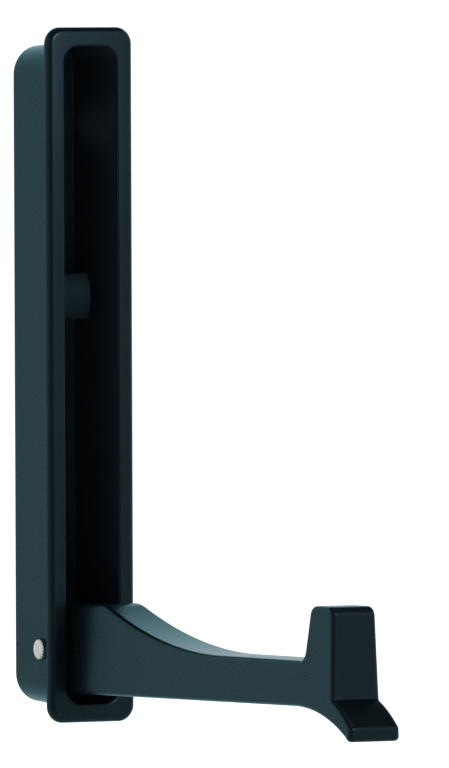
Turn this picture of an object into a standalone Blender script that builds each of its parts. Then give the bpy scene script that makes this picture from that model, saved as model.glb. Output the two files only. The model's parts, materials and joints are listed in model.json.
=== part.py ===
"""Recessed folding hook for a sash or shutter: a slim cast case that sinks into the
woodwork up to its flange, and a cast arm that turns on a cross pin and folds up into it.

Frame: metres, +Z up, -Y is the front, X runs along the pivot. The origin lies on the
flange's rear seating face, on the centre line, midway up the strip of that face below
the case body.
"""
import math

import bpy
import bmesh
from mathutils import Matrix, Vector

# Flange: the thin plate that sits on the woodwork
FLANGE_HEIGHT = 0.1302
FLANGE_WIDTH = 0.0185
FLANGE_THICKNESS = 0.0017
FLANGE_CORNER = 0.0032
FLANGE_EDGE_ROUND = 0.0012

# Case body: the drafted box behind the flange
CASE_HEIGHT = 0.1251
CASE_WIDTH = 0.0144
CASE_DEPTH = 0.0154
CASE_CORNER = 0.0055
CASE_END_DRAFT = 0.00085
CASE_SIDE_DRAFT = 0.0002
CASE_REAR_ROUND = 0.0005

# Recess inside the case
RECESS_HEIGHT = 0.1230
RECESS_WIDTH = 0.0114
RECESS_CORNER = 0.0031
RECESS_SIDE_DRAFT = 0.0001
RECESS_END_DRAFT = 0.0003
MOUTH_ROUND = 0.0005
BACK_WALL = 0.0012
CORNER_STEPS = 7
ROUND_STEPS = 3

# Where the origin strip puts the flange and everything centred on it
SEAT_STRIP = (FLANGE_HEIGHT - CASE_HEIGHT) / 2
FLANGE_BOTTOM = -SEAT_STRIP / 2
MID_Z = FLANGE_BOTTOM + FLANGE_HEIGHT / 2

# Pivot
PIVOT_Z = FLANGE_BOTTOM + 0.01365
PIVOT_Y = 0.0051
PIN_RADIUS = 0.00195
PIN_HALF_LENGTH = 0.0080
PIN_SPLINES = 18
PIN_SPLINE_LENGTH = 0.0029
GROOVE_SECTION = (0.00026, 0.00044)
GROOVE_OVERRUN = 0.0010
PIN_CHAMFER = 0.00025
GAP = 0.0003
BUSH_WALL = 0.0008
WASHER_RADIUS = 0.0046
WASHER_THICKNESS = 0.0004
WASHER_INNER_X = 0.00495
BUSH_HALF_LENGTH = 0.0043

# Arm, measured from the pivot: U runs forwards, W runs up. Its width is given at the pivot;
# the flare widens it along U, and the side draft narrows it along W.
ARM_WIDTH = 0.00904
ARM_FLARE = 0.0097
ARM_SIDE_DRAFT = 0.066
ARM_EDGE_ROUND = 0.00085
HEEL_RADIUS = 0.0082
HUB_TOP_U = 0.0176
HUB_TOP_W = 0.0090
HUB_CORNER = 0.0090
SWEEP_END_U = 0.0597
BEAM_TOP_W = 0.00075
BEAM_BOTTOM_W = -0.0077
FINGER_BACK_U = 0.0902
FINGER_TOP_U = (0.0922, 0.1002)
FINGER_TOP_W = 0.01085
FINGER_TOP_CORNER = 0.0018
FINGER_FILLET = 0.0022
FINGER_FRONT_U = 0.1007
LIP_START_W = -0.0061
LIP_TIP_U = 0.1073
LIP_TIP_W = (-0.0109, -0.0136)
LIP_TIP_CORNERS = (0.0013, 0.0009)
LIP_CROWN = 0.0004
LIP_FOOT_ROUND = 0.0006
LIP_SOLE_ROUND = 0.0009
LIP_SOLE_U = 0.1060
UNDER_SWEEP_U = (0.0865, 0.1050)
UNDER_SWEEP_ANGLE = math.radians(31)

# Detent in the hub
DETENT_U = -0.0015
DETENT_W = 0.0056
DETENT_BORE = 0.00135
BALL_RADIUS = 0.0012
BALL_CENTRE_X = 0.0041
DIMPLE_RADIUS = 0.0015
DIMPLE_CENTRE_X = 0.00445
FOLD_ANGLE = math.radians(88.5)
SPRING_RADIUS = 0.00092
SPRING_WIRE = 0.00018
SPRING_HALF_LENGTH = 0.0023
SPRING_TURNS = 6
SPRING_STEPS = 10

# Stop pad under the open arm
PAD_WIDTH = 0.0064
PAD_LENGTH = 0.0060
PAD_FRONT_Y = 0.0030
PAD_EDGE_ROUND = 0.0004

# Countersunk fixing hole through the back wall, above the pivot
FIXING_HEIGHT = 0.0982
FIXING_HEAD_RADIUS = 0.0035
FIXING_HOLE_RADIUS = 0.0023

# Rest buffer: a crowned block for the folded arm, plugged into the back wall by its stem
BUFFER_ABOVE_PIVOT = 0.0661
BUFFER_WIDTH = 0.0074
BUFFER_HEIGHT = 0.0086
BUFFER_FRONT_Y = 0.0046
BUFFER_CROWN = 0.0013
BUFFER_EDGE_ROUND = 0.0003
STEM_RADIUS = 0.0020
STEM_OVERLAP = 0.0010

CUT_MARGIN = 0.0004
WELD = 0.000001


def clear_scene():
    for obj in list(bpy.data.objects):
        bpy.data.objects.remove(obj, do_unlink=True)


def new_collection(name):
    collection = bpy.data.collections.new(name)
    bpy.context.scene.collection.children.link(collection)
    return collection


def new_material(name, colour, roughness, metallic):
    material = bpy.data.materials.new(name)
    material.use_nodes = True
    shader = material.node_tree.nodes["Principled BSDF"]
    shader.inputs["Base Color"].default_value = (*colour, 1.0)
    shader.inputs["Roughness"].default_value = roughness
    shader.inputs["Metallic"].default_value = metallic
    return material


def object_from_bmesh(name, bm, collection, material=None):
    bmesh.ops.recalc_face_normals(bm, faces=bm.faces)
    mesh = bpy.data.meshes.new(name)
    bm.to_mesh(mesh)
    bm.free()
    obj = bpy.data.objects.new(name, mesh)
    collection.objects.link(obj)
    if material:
        mesh.materials.append(material)
    return obj


def mark_cutter(obj):
    obj.hide_render = True
    obj.display_type = "WIRE"
    return obj


def cut(obj, cutter):
    modifier = obj.modifiers.new(cutter.name, "BOOLEAN")
    modifier.operation = "DIFFERENCE"
    modifier.object = cutter
    modifier.solver = "EXACT"


def smooth(obj, angle=40):
    obj.data.shade_smooth()
    obj.data.set_sharp_from_angle(angle=math.radians(angle))


def curve_to_mesh(obj, collection):
    """Replace a curve object by its welded mesh, in the same place."""
    bpy.context.view_layer.update()
    evaluated = obj.evaluated_get(bpy.context.evaluated_depsgraph_get())
    mesh = bpy.data.meshes.new_from_object(evaluated)
    bm = bmesh.new()
    bm.from_mesh(mesh)
    bmesh.ops.remove_doubles(bm, verts=bm.verts, dist=WELD)
    bmesh.ops.recalc_face_normals(bm, faces=bm.faces)
    bm.to_mesh(mesh)
    bm.free()
    name = obj.name
    matrix = obj.matrix_world.copy()
    bpy.data.objects.remove(obj, do_unlink=True)
    solid = bpy.data.objects.new(name, mesh)
    solid.matrix_world = matrix
    collection.objects.link(solid)
    return solid


def rounded_ring(bm, width, height, corner, y):
    """One closed ring of vertices: a rounded rectangle in the XZ plane at depth y."""
    verts = []
    for quarter in range(4):
        start = quarter * math.pi / 2
        side_x = 1 if quarter in (0, 3) else -1
        side_z = 1 if quarter in (0, 1) else -1
        centre_x = side_x * (width / 2 - corner)
        centre_z = MID_Z + side_z * (height / 2 - corner)
        for step in range(CORNER_STEPS + 1):
            angle = start + step * math.pi / 2 / CORNER_STEPS
            x = centre_x + corner * math.cos(angle)
            z = centre_z + corner * math.sin(angle)
            verts.append(bm.verts.new((x, y, z)))
    return verts


def loft(bm, rings):
    """Skin a chain of rings with the same number of vertices, and cap its two ends."""
    for ring, following in zip(rings, rings[1:]):
        for index in range(len(ring)):
            quad = (ring[index - 1], ring[index], following[index], following[index - 1])
            bm.faces.new(quad)
    bm.faces.new(rings[0])
    bm.faces.new(rings[-1])


def quarter_round(radius, steps=ROUND_STEPS):
    """Offsets (inward, along) of a quarter-round edge from its start to its end."""
    angles = [step * math.pi / 2 / steps for step in range(steps + 1)]
    return [(radius * (1 - math.cos(a)), radius * (1 - math.sin(a))) for a in angles]


def case_sections():
    """Rounded rectangles (width, height, corner, y) from the outer back round to the inner back."""
    sections = []
    rear_width = CASE_WIDTH - 2 * CASE_SIDE_DRAFT
    rear_height = CASE_HEIGHT - 2 * CASE_END_DRAFT
    for inward, along in reversed(quarter_round(CASE_REAR_ROUND)):
        corner = CASE_CORNER - inward
        y = CASE_DEPTH - along
        sections.append((rear_width - 2 * inward, rear_height - 2 * inward, corner, y))
    sections.append((CASE_WIDTH, CASE_HEIGHT, CASE_CORNER, 0.0))
    sections.append((FLANGE_WIDTH, FLANGE_HEIGHT, FLANGE_CORNER, 0.0))
    for inward, along in quarter_round(FLANGE_EDGE_ROUND):
        y = -FLANGE_THICKNESS + along
        corner = FLANGE_CORNER - inward
        sections.append((FLANGE_WIDTH - 2 * inward, FLANGE_HEIGHT - 2 * inward, corner, y))
    for inward, along in reversed(quarter_round(MOUTH_ROUND)):
        y = -FLANGE_THICKNESS + along
        corner = RECESS_CORNER + inward
        sections.append((RECESS_WIDTH + 2 * inward, RECESS_HEIGHT + 2 * inward, corner, y))
    inner_width = RECESS_WIDTH - 2 * RECESS_SIDE_DRAFT
    inner_height = RECESS_HEIGHT - 2 * RECESS_END_DRAFT
    sections.append((inner_width, inner_height, RECESS_CORNER, CASE_DEPTH - BACK_WALL))
    return sections


def turned(name, profile, collection, location, axis, closed=False):
    """A turned solid: profile points (radius, height) down its outer side, about axis X or Y."""
    mesh = bpy.data.meshes.new(name)
    verts = [(radius, 0.0, height) for radius, height in profile]
    edges = [(i, i + 1) for i in range(len(verts) - 1)]
    if closed:
        edges.append((len(verts) - 1, 0))
    mesh.from_pydata(verts, edges, [])
    obj = bpy.data.objects.new(name, mesh)
    collection.objects.link(obj)
    screw = obj.modifiers.new("turn", "SCREW")
    screw.axis = "Z"
    screw.steps = 32
    screw.render_steps = 32
    screw.use_merge_vertices = True
    screw.merge_threshold = 0.00001
    obj.location = location
    obj.rotation_euler = (0, math.pi / 2, 0) if axis == "X" else (math.pi / 2, 0, 0)
    return obj


def rod_profile(radius, half_length, chamfer=0.0):
    """Turned profile of a rod, centred, with optional end chamfers."""
    if not chamfer:
        return [(0, half_length), (radius, half_length), (radius, -half_length), (0, -half_length)]
    shoulder = half_length - chamfer
    return [(0, half_length), (radius - chamfer, half_length), (radius, shoulder),
            (radius, -shoulder), (radius - chamfer, -half_length), (0, -half_length)]


def detent_offset(angle):
    """Detent position from the pivot as (y, z) once the arm has folded up by angle."""
    forward = DETENT_U * math.cos(angle) - DETENT_W * math.sin(angle)
    up = DETENT_U * math.sin(angle) + DETENT_W * math.cos(angle)
    return -forward, up


def ball_cutter(name, radius, location, collection):
    bm = bmesh.new()
    bmesh.ops.create_uvsphere(bm, u_segments=20, v_segments=12, radius=radius)
    obj = object_from_bmesh(name, bm, collection)
    obj.location = location
    return mark_cutter(obj)


def make_case(parts, cutters, material):
    bm = bmesh.new()
    loft(bm, [rounded_ring(bm, *section) for section in case_sections()])
    case = object_from_bmesh("recessed_case", bm, parts, material)

    hole = rod_profile(PIN_RADIUS + GAP, CASE_WIDTH)
    cut(case, mark_cutter(turned("pin_hole_cut", hole, cutters, (0, PIVOT_Y, PIVOT_Z), "X")))

    inner_face = BACK_WALL + CUT_MARGIN
    slope = (FIXING_HEAD_RADIUS - FIXING_HOLE_RADIUS) / BACK_WALL
    head = FIXING_HEAD_RADIUS + slope * CUT_MARGIN
    tail = FIXING_HOLE_RADIUS - slope * CUT_MARGIN
    countersink = [(0, inner_face), (head, inner_face), (tail, -CUT_MARGIN), (0, -CUT_MARGIN)]
    place = (0, CASE_DEPTH, PIVOT_Z + FIXING_HEIGHT)
    cut(case, mark_cutter(turned("fixing_hole_cut", countersink, cutters, place, "Y")))

    stem_hole = rod_profile(STEM_RADIUS + GAP, BACK_WALL + CUT_MARGIN)
    place = (0, CASE_DEPTH, PIVOT_Z + BUFFER_ABOVE_PIVOT)
    cut(case, mark_cutter(turned("stem_hole_cut", stem_hole, cutters, place, "Y")))

    for state, angle in (("open", 0.0), ("folded", FOLD_ANGLE)):
        offset_y, offset_z = detent_offset(angle)
        for side, sign in (("left", -1), ("right", 1)):
            place = (sign * DIMPLE_CENTRE_X, PIVOT_Y + offset_y, PIVOT_Z + offset_z)
            cut(case, ball_cutter(f"dimple_cut_{state}_{side}", DIMPLE_RADIUS, place, cutters))
    return case


def arc(centre, radius, start, end, steps):
    """Points on an arc in the UW plane; angles in degrees, counted from U towards W."""
    points = []
    for step in range(steps + 1):
        angle = math.radians(start + (end - start) * step / steps)
        points.append((centre[0] + radius * math.cos(angle), centre[1] + radius * math.sin(angle)))
    return points


def rounded_corner(before, corner, after, radius, steps=4):
    """Replace a corner by an arc tangent to both of its sides."""
    corner = Vector(corner)
    to_before = (Vector(before) - corner).normalized()
    to_after = (Vector(after) - corner).normalized()
    half = to_before.angle(to_after) / 2
    reach = radius / math.tan(half)
    centre = corner + (to_before + to_after).normalized() * radius / math.sin(half)
    first = corner + to_before * reach - centre
    last = corner + to_after * reach - centre
    turn = first.angle_signed(last)
    points = []
    for step in range(steps + 1):
        angle = -turn * step / steps
        rotated = Matrix.Rotation(angle, 2) @ first
        points.append(tuple(centre + rotated))
    return points


def arm_outline():
    """The arm's side view from the pivot, anticlockwise from the bottom of the heel."""
    under_radius = (UNDER_SWEEP_U[1] - UNDER_SWEEP_U[0]) / math.sin(UNDER_SWEEP_ANGLE)
    under_centre = (UNDER_SWEEP_U[0], BEAM_BOTTOM_W - under_radius)
    under_end = -90 + 180 - math.degrees(UNDER_SWEEP_ANGLE)
    points = arc(under_centre, under_radius, 90, under_end, 5)

    lip_sole = (LIP_SOLE_U, LIP_TIP_W[1])
    lip_low = (LIP_TIP_U, LIP_TIP_W[1])
    lip_high = (LIP_TIP_U, LIP_TIP_W[0])
    finger_foot = (FINGER_FRONT_U, LIP_START_W)
    lip_middle = ((LIP_TIP_U + FINGER_FRONT_U) / 2, (LIP_TIP_W[0] + LIP_START_W) / 2 + LIP_CROWN)
    front_top = (FINGER_TOP_U[1], FINGER_TOP_W)
    back_top = (FINGER_TOP_U[0], FINGER_TOP_W)
    back_foot = (FINGER_BACK_U, BEAM_TOP_W)
    sweep_end = (SWEEP_END_U, BEAM_TOP_W)
    hub_top = (HUB_TOP_U, HUB_TOP_W)

    points += rounded_corner(points[-1], lip_sole, lip_low, LIP_SOLE_ROUND, 3)
    points += rounded_corner(lip_sole, lip_low, lip_high, LIP_TIP_CORNERS[1])
    points += rounded_corner(lip_low, lip_high, lip_middle, LIP_TIP_CORNERS[0])
    points.append(lip_middle)
    points += rounded_corner(lip_middle, finger_foot, front_top, LIP_FOOT_ROUND, 2)
    points += rounded_corner(finger_foot, front_top, back_top, FINGER_TOP_CORNER)
    points += rounded_corner(front_top, back_top, back_foot, FINGER_TOP_CORNER)
    points += rounded_corner(back_top, back_foot, sweep_end, FINGER_FILLET, 5)

    rise = HUB_TOP_W - BEAM_TOP_W
    run = SWEEP_END_U - HUB_TOP_U
    sweep = []
    for step in range(13):
        t = step / 12
        sweep.append((SWEEP_END_U - run * t, BEAM_TOP_W + rise * t * t))
    heel_top = (0.0, HEEL_RADIUS)
    points += sweep[:-1]
    points += rounded_corner(sweep[-2], hub_top, heel_top, HUB_CORNER)
    points += arc((0, 0), HEEL_RADIUS, 90, 270, 18)
    return points


def extruded(name, outline, width, edge_round, parts, material):
    """A solid with a UW outline and rounded edges, centred on X, placed from the pivot."""
    curve = bpy.data.curves.new(name, "CURVE")
    curve.dimensions = "2D"
    curve.fill_mode = "BOTH"
    curve.extrude = width / 2 - edge_round
    curve.bevel_depth = edge_round
    curve.bevel_resolution = 1
    curve.offset = -edge_round
    spline = curve.splines.new("POLY")
    spline.points.add(len(outline) - 1)
    spline.use_cyclic_u = True
    for point, (u, w) in zip(spline.points, outline):
        point.co = (u, w, 0.0, 1.0)
    flat = bpy.data.objects.new(name, curve)
    parts.objects.link(flat)
    solid = curve_to_mesh(flat, parts)
    # the outline's U runs forwards (-Y), its W runs up and its thickness runs along X
    lay = Matrix(((0, 0, 1, 0), (-1, 0, 0, 0), (0, 1, 0, 0), (0, 0, 0, 1)))
    solid.data.transform(lay)
    bm = bmesh.new()
    bm.from_mesh(solid.data)
    bmesh.ops.recalc_face_normals(bm, faces=bm.faces)
    bm.to_mesh(solid.data)
    bm.free()
    solid.name = name
    solid.location = (0, PIVOT_Y, PIVOT_Z)
    solid.data.materials.clear()
    solid.data.materials.append(material)
    return solid


def make_arm(parts, cutters, material):
    arm = extruded("hook_arm", arm_outline(), ARM_WIDTH, ARM_EDGE_ROUND, parts, material)
    for vert in arm.data.vertices:
        widening = -ARM_FLARE * vert.co.y - ARM_SIDE_DRAFT * vert.co.z
        vert.co.x *= 1 + widening / ARM_WIDTH
    bore = rod_profile(PIN_RADIUS + 2 * GAP + BUSH_WALL, ARM_WIDTH)
    cut(arm, mark_cutter(turned("hub_bore_cut", bore, cutters, (0, PIVOT_Y, PIVOT_Z), "X")))
    offset_y, offset_z = detent_offset(0.0)
    place = (0, PIVOT_Y + offset_y, PIVOT_Z + offset_z)
    cross = rod_profile(DETENT_BORE, ARM_WIDTH)
    cut(arm, mark_cutter(turned("detent_bore_cut", cross, cutters, place, "X")))
    return arm


def make_ring(name, inner, outer, x_low, x_high, parts, material):
    """A flat ring or sleeve about the pivot between two X positions."""
    middle = (x_low + x_high) / 2
    half = (x_high - x_low) / 2
    profile = [(inner, half), (outer, half), (outer, -half), (inner, -half)]
    ring = turned(name, profile, parts, (middle, PIVOT_Y, PIVOT_Z), "X", closed=True)
    ring.data.materials.append(material)
    return ring


def make_pin(parts, cutters, material):
    profile = rod_profile(PIN_RADIUS, PIN_HALF_LENGTH, PIN_CHAMFER)
    pin = turned("pivot_pin", profile, parts, (0, PIVOT_Y, PIVOT_Z), "X")
    pin.data.materials.append(material)
    # straight splines cut along both ends, where the pin bites into the case walls
    bm = bmesh.new()
    groove_length = PIN_SPLINE_LENGTH + GROOVE_OVERRUN
    groove_middle = PIN_HALF_LENGTH - PIN_SPLINE_LENGTH + groove_length / 2
    scale = Matrix.Diagonal((groove_length, *GROOVE_SECTION, 1))
    tilt = Matrix.Rotation(math.pi / 4, 4, "X")
    out = Matrix.Translation((0, 0, PIN_RADIUS))
    for sign in (-1, 1):
        along = Matrix.Translation((sign * groove_middle, 0, 0))
        for number in range(PIN_SPLINES):
            spin = Matrix.Rotation(2 * math.pi * number / PIN_SPLINES, 4, "X")
            made = bmesh.ops.create_cube(bm, size=1.0)["verts"]
            bmesh.ops.transform(bm, matrix=along @ spin @ out @ tilt @ scale, verts=made)
    grooves = object_from_bmesh("pin_spline_cut", bm, cutters)
    grooves.location = (0, PIVOT_Y, PIVOT_Z)
    cut(pin, mark_cutter(grooves))
    return pin


def make_ball(name, sign, parts, material):
    bm = bmesh.new()
    bmesh.ops.create_uvsphere(bm, u_segments=20, v_segments=12, radius=BALL_RADIUS)
    ball = object_from_bmesh(name, bm, parts, material)
    offset_y, offset_z = detent_offset(0.0)
    ball.location = (sign * BALL_CENTRE_X, PIVOT_Y + offset_y, PIVOT_Z + offset_z)
    return ball


def make_spring(parts, material):
    curve = bpy.data.curves.new("detent_spring", "CURVE")
    curve.dimensions = "3D"
    curve.bevel_depth = SPRING_WIRE
    curve.bevel_resolution = 2
    curve.use_fill_caps = True
    count = SPRING_TURNS * SPRING_STEPS + 1
    spline = curve.splines.new("POLY")
    spline.points.add(count - 1)
    for index, point in enumerate(spline.points):
        turn = 2 * math.pi * index / SPRING_STEPS
        x = -SPRING_HALF_LENGTH + 2 * SPRING_HALF_LENGTH * index / (count - 1)
        point.co = (x, SPRING_RADIUS * math.cos(turn), SPRING_RADIUS * math.sin(turn), 1.0)
    spring = bpy.data.objects.new("detent_spring", curve)
    parts.objects.link(spring)
    offset_y, offset_z = detent_offset(0.0)
    spring.location = (0, PIVOT_Y + offset_y, PIVOT_Z + offset_z)
    curve.materials.append(material)
    return spring


def make_stop_pad(parts, material):
    floor = MID_Z - RECESS_HEIGHT / 2 + RECESS_END_DRAFT + GAP
    top = PIVOT_Z - HEEL_RADIUS - GAP
    bm = bmesh.new()
    made = bmesh.ops.create_cube(bm, size=1.0)["verts"]
    size = Matrix.Diagonal((PAD_WIDTH, PAD_LENGTH, top - floor, 1))
    place = Matrix.Translation((0, PAD_FRONT_Y + PAD_LENGTH / 2, (top + floor) / 2))
    bmesh.ops.transform(bm, matrix=place @ size, verts=made)
    pad = object_from_bmesh("stop_pad", bm, parts, material)
    bevel = pad.modifiers.new("soft_edges", "BEVEL")
    bevel.width = PAD_EDGE_ROUND
    bevel.segments = 2
    return pad


def make_buffer(parts, cutters, material):
    """The crowned block that stops the folding arm, with the stem that plugs it in."""
    half = BUFFER_HEIGHT / 2
    radius = (half * half + BUFFER_CROWN * BUFFER_CROWN) / (2 * BUFFER_CROWN)
    half_angle = math.degrees(math.asin(half / radius))
    crest = PIVOT_Y - BUFFER_FRONT_Y
    back_y = CASE_DEPTH - BACK_WALL - GAP
    outline = arc((crest - radius, BUFFER_ABOVE_PIVOT), radius, -half_angle, half_angle, 8)
    outline.append((PIVOT_Y - back_y, BUFFER_ABOVE_PIVOT + half))
    outline.append((PIVOT_Y - back_y, BUFFER_ABOVE_PIVOT - half))
    buffer = extruded("rest_buffer", outline, BUFFER_WIDTH, BUFFER_EDGE_ROUND, parts, material)

    stem_start = back_y - STEM_OVERLAP
    stem_end = CASE_DEPTH - GAP
    profile = rod_profile(STEM_RADIUS, (stem_end - stem_start) / 2)
    place = (0, (stem_start + stem_end) / 2, PIVOT_Z + BUFFER_ABOVE_PIVOT)
    join = buffer.modifiers.new("stem", "BOOLEAN")
    join.operation = "UNION"
    join.object = mark_cutter(turned("buffer_stem_form", profile, cutters, place, "Y"))
    join.solver = "EXACT"
    return buffer


def main():
    clear_scene()
    parts = new_collection("sash_lift_handle")
    cutters = new_collection("cutters")
    black = new_material("satin_black_casting", (0.022, 0.036, 0.044), 0.38, 0.35)
    steel = new_material("bright_steel", (0.72, 0.72, 0.70), 0.22, 1.0)
    bronze = new_material("sintered_bronze", (0.42, 0.27, 0.12), 0.45, 1.0)
    rubber = new_material("black_rubber", (0.015, 0.015, 0.015), 0.8, 0.0)
    nylon = new_material("black_nylon", (0.018, 0.024, 0.028), 0.45, 0.0)
    spring_steel = new_material("spring_steel", (0.45, 0.45, 0.44), 0.3, 1.0)

    smooth(make_case(parts, cutters, black))
    smooth(make_arm(parts, cutters, black))
    make_pin(parts, cutters, steel)
    bush_inner = PIN_RADIUS + GAP
    half_bush = BUSH_HALF_LENGTH
    make_ring("pivot_bush", bush_inner, bush_inner + BUSH_WALL, -half_bush, half_bush, parts, bronze)
    near = WASHER_INNER_X
    far = near + WASHER_THICKNESS
    make_ring("thrust_washer_left", bush_inner, WASHER_RADIUS, -far, -near, parts, nylon)
    make_ring("thrust_washer_right", bush_inner, WASHER_RADIUS, near, far, parts, nylon)
    smooth(make_ball("detent_ball_left", -1, parts, steel))
    smooth(make_ball("detent_ball_right", 1, parts, steel))
    make_spring(parts, spring_steel)
    make_stop_pad(parts, rubber)
    make_buffer(parts, cutters, nylon)


main()
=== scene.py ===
"""Looks of the recessed folding hook: finely rounded castings, a splined pin and soft light.

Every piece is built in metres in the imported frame: -Y is the front, +Z is up, X runs
along the pivot. Outlines of the arm are given from the pivot, U forwards and W up.
"""

import json
import math

import bmesh
import bpy
from mathutils import Matrix, Vector


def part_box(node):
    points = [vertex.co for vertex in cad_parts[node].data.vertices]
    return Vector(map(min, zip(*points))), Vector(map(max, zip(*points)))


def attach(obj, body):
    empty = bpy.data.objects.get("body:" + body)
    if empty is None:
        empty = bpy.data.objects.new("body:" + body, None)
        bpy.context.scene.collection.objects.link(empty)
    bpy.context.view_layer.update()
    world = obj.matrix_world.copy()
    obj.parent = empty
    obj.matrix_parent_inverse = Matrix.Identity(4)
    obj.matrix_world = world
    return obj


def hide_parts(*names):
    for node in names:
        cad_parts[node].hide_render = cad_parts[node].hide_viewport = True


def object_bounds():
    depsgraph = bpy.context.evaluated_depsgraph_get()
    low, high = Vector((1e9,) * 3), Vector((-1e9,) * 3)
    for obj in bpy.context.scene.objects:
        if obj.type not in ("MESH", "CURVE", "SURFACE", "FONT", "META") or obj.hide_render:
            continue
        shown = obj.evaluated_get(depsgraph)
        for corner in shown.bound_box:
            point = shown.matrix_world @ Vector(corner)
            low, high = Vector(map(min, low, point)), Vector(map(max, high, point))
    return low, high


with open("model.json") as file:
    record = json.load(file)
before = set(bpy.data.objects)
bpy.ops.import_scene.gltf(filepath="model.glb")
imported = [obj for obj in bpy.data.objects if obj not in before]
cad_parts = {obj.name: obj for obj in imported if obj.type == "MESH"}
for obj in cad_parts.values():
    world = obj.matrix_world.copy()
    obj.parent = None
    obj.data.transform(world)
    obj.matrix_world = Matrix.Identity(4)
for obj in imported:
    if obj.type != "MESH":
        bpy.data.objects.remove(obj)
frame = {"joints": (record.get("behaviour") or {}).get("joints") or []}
cad_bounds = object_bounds()

MM = 0.001
FULL_TURN = 2 * math.pi


def joint_position(name):
    """Where the frame puts a joint."""
    return Vector(next(joint["pos_m"] for joint in frame["joints"] if joint["name"] == name))


def box_centre(node):
    """The middle of a CAD node's box."""
    low, high = (Vector(corner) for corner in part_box(node))
    return (low + high) / 2


def box_size(node):
    """The sizes of a CAD node's box along X, Y and Z."""
    low, high = (Vector(corner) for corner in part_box(node))
    return high - low


PIVOT = joint_position("arm_fold")
CASE_LOW, CASE_HIGH = (Vector(corner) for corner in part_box("recessed_case"))
MID_Z = (CASE_LOW.z + CASE_HIGH.z) / 2


# ---------------------------------------------------------------- camera, light and stage

CAMERA_AZIMUTH = math.radians(-31.135)
CAMERA_ELEVATION = math.radians(1.333)
CAMERA_ROLL = math.radians(-0.217)
CAMERA_DISTANCE = 2.9987
CAMERA_LENS_MM = 750
CAMERA_SENSOR_MM = 36
CAMERA_NEAR = 0.1
CAMERA_FAR = 50
AIM_RIGHT = 25.457 * MM
AIM_UP = 49.702 * MM

FLOOR_DROP = 0.12
FLOOR_HALF_WIDTH = 60
FLOOR_WHITE = 0.9
FLOOR_ROUGHNESS = 0.9
FLOOR_GLOW = 0.9

# Studio brightness by height, from straight down at 0 over the horizon at 0.5 to straight
# up at 1, and by turn, from the bright end of the room at 0 to its dark end at 1. The dark
# end lies in front of the object's left side.
HEIGHT_STOPS = ((0.0, 0.55), (0.25, 0.80), (0.46, 0.85), (0.505, 1.0), (0.62, 1.0), (0.78, 1.0),
                (0.85, 0.02), (0.94, 0.02), (1.0, 0.4))
DARK_END = (-0.515, -0.857, 0.0)
TURN_STOPS = ((0.0, 1.0), (0.07, 0.97), (0.14, 0.80), (0.265, 0.62), (0.55, 0.50), (0.72, 0.19),
              (0.83, 0.50), (0.90, 0.10), (1.0, 0.08))
STUDIO_STRENGTH = 1.0
BACKDROP_STRENGTH = 1.05

OVERHEAD_PLACE = (0, 0, 2.5)
OVERHEAD_TARGET = (0, 0, 0)
OVERHEAD_SIZE = (4, 4)
OVERHEAD_POWER = 60

# A soft panel close by on the right front, mirrored by the upper part of the flange
SIDE_PANEL_PLACE = (0.030, -0.116, 0.138)
SIDE_PANEL_TARGET = (0, 0, 0.138)
SIDE_PANEL_SIZE = (0.060, 0.064)
SIDE_PANEL_POWER = 0.0085

# A small lamp raised in front, mirrored by the castings' rounded edges and corners
CORNER_LAMP_PLACE = (0.227, -0.962, 0.402)
CORNER_LAMP_TARGET = (0, -0.05, 0.06)
CORNER_LAMP_SIZE = (0.16, 0.16)
CORNER_LAMP_POWER = 1.2


def make_camera():
    """A long lens from the object's left front, almost level with its top."""
    azimuth, elevation, roll = CAMERA_AZIMUTH, CAMERA_ELEVATION, CAMERA_ROLL
    back = Vector((math.sin(azimuth) * math.cos(elevation),
                   -math.cos(azimuth) * math.cos(elevation),
                   math.sin(elevation)))
    level = Vector((math.cos(azimuth), math.sin(azimuth), 0))
    upright = back.cross(level)
    right = level * math.cos(roll) + upright * math.sin(roll)
    up = upright * math.cos(roll) - level * math.sin(roll)
    data = bpy.data.cameras.new("camera")
    data.lens = CAMERA_LENS_MM
    data.sensor_width = CAMERA_SENSOR_MM
    data.clip_start = CAMERA_NEAR
    data.clip_end = CAMERA_FAR
    camera = bpy.data.objects.new("camera", data)
    bpy.context.scene.collection.objects.link(camera)
    aim = Vector((0, 0, PIVOT.z))
    place = aim + back * CAMERA_DISTANCE + right * AIM_RIGHT + up * AIM_UP
    turn = Matrix((right, up, back)).transposed().to_4x4()
    camera.matrix_world = Matrix.Translation(place) @ turn
    bpy.context.scene.camera = camera


def fill_ramp(ramp, stops):
    """Set a colour ramp's stops from (position, grey) pairs."""
    elements = ramp.color_ramp.elements
    while len(elements) < len(stops):
        elements.new(0.5)
    for element, (position, grey) in zip(elements, stops):
        element.position = position
        element.color = (grey, grey, grey, 1)


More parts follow.
